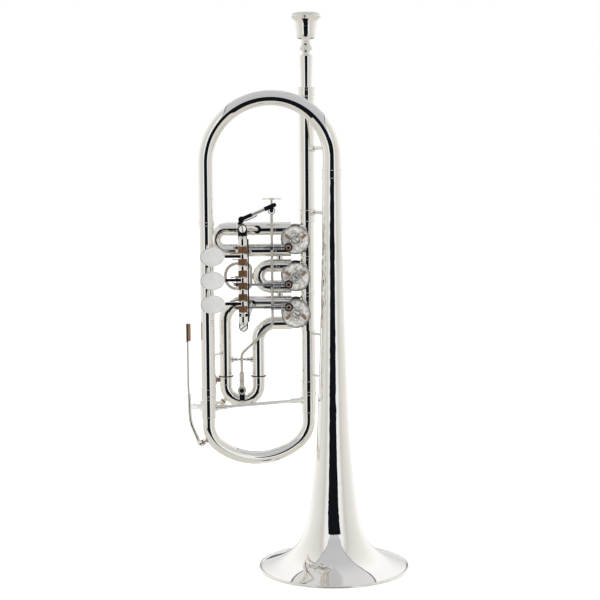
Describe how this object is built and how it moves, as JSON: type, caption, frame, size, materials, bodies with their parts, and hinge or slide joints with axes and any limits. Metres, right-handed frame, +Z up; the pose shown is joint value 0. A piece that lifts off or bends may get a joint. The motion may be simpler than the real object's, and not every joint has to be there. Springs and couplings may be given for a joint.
{
  "type": "rotary-valve trumpet",
  "caption": "Silver-plated rotary-valve trumpet with finger levers, sprung third-slide trigger, pull slides, water keys and mouthpiece, standing on its bell.",
  "frame": {"origin": "centre of the bell's mouth, on the surface that the bell's rim stands on", "axes": "+Z up the bell axis towards the mouthpiece, +X from the bottom bow towards the bell, -Y towards the finger levers"},
  "size_m": [0.1975, 0.135, 0.4942],
  "materials": {
    "silver_plate": "polished silver plate on brass",
    "bronze": "browned phosphor bronze",
    "valve_brass": "ground brass",
    "cork": "cork"
  },
  "bodies": {
    "horn": {"bell": "silver_plate", "bell_rim_wire": "silver_plate", "top_bow": "silver_plate", "left_tube": "silver_plate", "joint_ferrules": "silver_plate", "bell_braces": "silver_plate", "receiver": "silver_plate", "leadpipe": "silver_plate", "valve_casing_1": "silver_plate", "valve_casing_2": "silver_plate", "valve_casing_3": "silver_plate", "bearing_plates": "silver_plate", "back_caps": "silver_plate", "stop_corks": "cork", "crossover_rings": "silver_plate", "exit_tube": "silver_plate", "slide_1_outer_tubes": "silver_plate", "slide_2_outer_tubes": "silver_plate", "slide_3_outer_tubes": "silver_plate", "slide_3_leg_brace": "silver_plate", "loop_posts": "silver_plate", "lever_carrier": "silver_plate", "lever_shaft": "silver_plate", "shaft_nuts_and_sleeves": "silver_plate", "carrier_screws": "silver_plate", "lever_springs": "bronze", "trigger_bracket": "silver_plate", "trigger_spring": "bronze"},
    "mouthpiece": {"mouthpiece": "silver_plate"},
    "trigger": {"trigger_lever": "silver_plate", "thumb_plate": "silver_plate"},
    "trigger_rod": {"trigger_rod": "silver_plate"},
    "first_slide": {"slide_1": "silver_plate"},
    "second_slide": {"slide_2": "silver_plate", "finger_ring": "silver_plate"},
    "third_slide": {"slide_3": "silver_plate", "slide_3_key_bracket": "silver_plate"},
    "third_slide_water_key": {"slide_3_water_key": "silver_plate", "slide_3_key_cork": "cork"},
    "tuning_slide": {"tuning_slide": "silver_plate", "tuning_ferrules": "silver_plate", "tuning_brace": "silver_plate", "main_key_bracket": "silver_plate"},
    "main_water_key": {"main_water_key": "silver_plate", "main_key_corks": "cork"},
    "lever_1": {"lever_1": "silver_plate", "finger_plate_1": "silver_plate"},
    "rotor_1": {"rotor_1": "valve_brass", "stop_arm_1": "silver_plate"},
    "link_rod_1": {"link_rod_1": "silver_plate"},
    "lever_2": {"lever_2": "silver_plate", "finger_plate_2": "silver_plate"},
    "rotor_2": {"rotor_2": "valve_brass", "stop_arm_2": "silver_plate"},
    "link_rod_2": {"link_rod_2": "silver_plate"},
    "lever_3": {"lever_3": "silver_plate", "finger_plate_3": "silver_plate"},
    "rotor_3": {"rotor_3": "valve_brass", "stop_arm_3": "silver_plate"},
    "link_rod_3": {"link_rod_3": "silver_plate"}
  },
  "joints": [
    {"name": "lever_1_press", "type": "hinge", "parent": "horn", "child": "lever_1", "pos_m": [-0.0782, -0.024, 0.2819], "axis": [0, 0, -1], "range_deg": [0, 25], "stiffness_Nm_per_rad": 0.04, "springref_deg": -34.38},
    {"name": "rotor_1_turn", "type": "hinge", "parent": "horn", "child": "rotor_1", "pos_m": [-0.0324, 0.022, 0.2942], "axis": [0, -1, 0], "range_deg": [0, 90]},
    {"name": "link_rod_1_swing", "type": "hinge", "parent": "rotor_1", "child": "link_rod_1", "pos_m": [-0.03876, 0.00471, 0.28784], "axis": [0, 1, 0], "range_deg": [0, 90]},
    {"name": "lever_2_press", "type": "hinge", "parent": "horn", "child": "lever_2", "pos_m": [-0.0782, -0.024, 0.2614], "axis": [0, 0, -1], "range_deg": [0, 25], "stiffness_Nm_per_rad": 0.04, "springref_deg": -34.38},
    {"name": "rotor_2_turn", "type": "hinge", "parent": "horn", "child": "rotor_2", "pos_m": [-0.0324, 0.022, 0.2612], "axis": [0, -1, 0], "range_deg": [0, 90]},
    {"name": "link_rod_2_swing", "type": "hinge", "parent": "rotor_2", "child": "link_rod_2", "pos_m": [-0.03876, 0.00471, 0.25484], "axis": [0, 1, 0], "range_deg": [0, 90]},
    {"name": "lever_3_press", "type": "hinge", "parent": "horn", "child": "lever_3", "pos_m": [-0.0782, -0.024, 0.2409], "axis": [0, 0, -1], "range_deg": [0, 25], "stiffness_Nm_per_rad": 0.04, "springref_deg": -34.38},
    {"name": "rotor_3_turn", "type": "hinge", "parent": "horn", "child": "rotor_3", "pos_m": [-0.0324, 0.022, 0.2282], "axis": [0, 1, 0], "range_deg": [0, 90]},
    {"name": "link_rod_3_swing", "type": "hinge", "parent": "rotor_3", "child": "link_rod_3", "pos_m": [-0.03876, 0.00471, 0.23456], "axis": [0, -1, 0], "range_deg": [0, 90]},
    {"name": "trigger_press", "type": "hinge", "parent": "horn", "child": "trigger", "pos_m": [-0.0806, 0.0128, 0.3127], "axis": [0, 1, 0], "range_deg": [0, 26.05]},
    {"name": "third_slide_travel", "type": "slide", "parent": "horn", "child": "third_slide", "axis": [0, 0, -1], "range_m": [0, 0.01262], "stiffness_N_per_m": 78, "springref_m": -0.0222},
    {"name": "trigger_rod_swing", "type": "hinge", "parent": "third_slide", "child": "trigger_rod", "pos_m": [-0.0816, 0.0128, 0.1589], "axis": [0, 1, 0], "range_deg": [0, 0.173]},
    {"name": "first_slide_pull", "type": "slide", "parent": "horn", "child": "first_slide", "axis": [-1, 0, 0], "range_m": [0, 0.022]},
    {"name": "second_slide_pull", "type": "slide", "parent": "horn", "child": "second_slide", "axis": [-1, 0, 0], "range_m": [0, 0.006]},
    {"name": "tuning_slide_pull", "type": "slide", "parent": "horn", "child": "tuning_slide", "axis": [0, 0, -1], "range_m": [0, 0.03]},
    {"name": "mouthpiece_pull", "type": "slide", "parent": "horn", "child": "mouthpiece", "axis": [0, 0, 1], "range_m": [0, 0.03]},
    {"name": "main_water_key_press", "type": "hinge", "parent": "tuning_slide", "child": "main_water_key", "pos_m": [-0.1244, 0, 0.1462], "axis": [0, 1, 0], "range_deg": [0, 6], "stiffness_Nm_per_rad": 0.03, "springref_deg": -28.65},
    {"name": "third_water_key_press", "type": "hinge", "parent": "third_slide", "child": "third_slide_water_key", "pos_m": [-0.1048, 0.022, 0.1674], "axis": [0, 1, 0], "range_deg": [0, 5], "stiffness_Nm_per_rad": 0.02, "springref_deg": -28.65}
  ],
  "couplings": [
    {"joint": "rotor_1_turn", "follows": "lever_1_press", "ratio": 3.6},
    {"joint": "link_rod_1_swing", "follows": "lever_1_press", "ratio": 3.6},
    {"joint": "rotor_2_turn", "follows": "lever_2_press", "ratio": 3.6},
    {"joint": "link_rod_2_swing", "follows": "lever_2_press", "ratio": 3.6},
    {"joint": "rotor_3_turn", "follows": "lever_3_press", "ratio": 3.6},
    {"joint": "link_rod_3_swing", "follows": "lever_3_press", "ratio": 3.6},
    {"joint": "trigger_press", "follows": "third_slide_travel", "rad_per_m": 35.961},
    {"joint": "trigger_rod_swing", "follows": "third_slide_travel", "rad_per_m": 0.225}
  ]
}
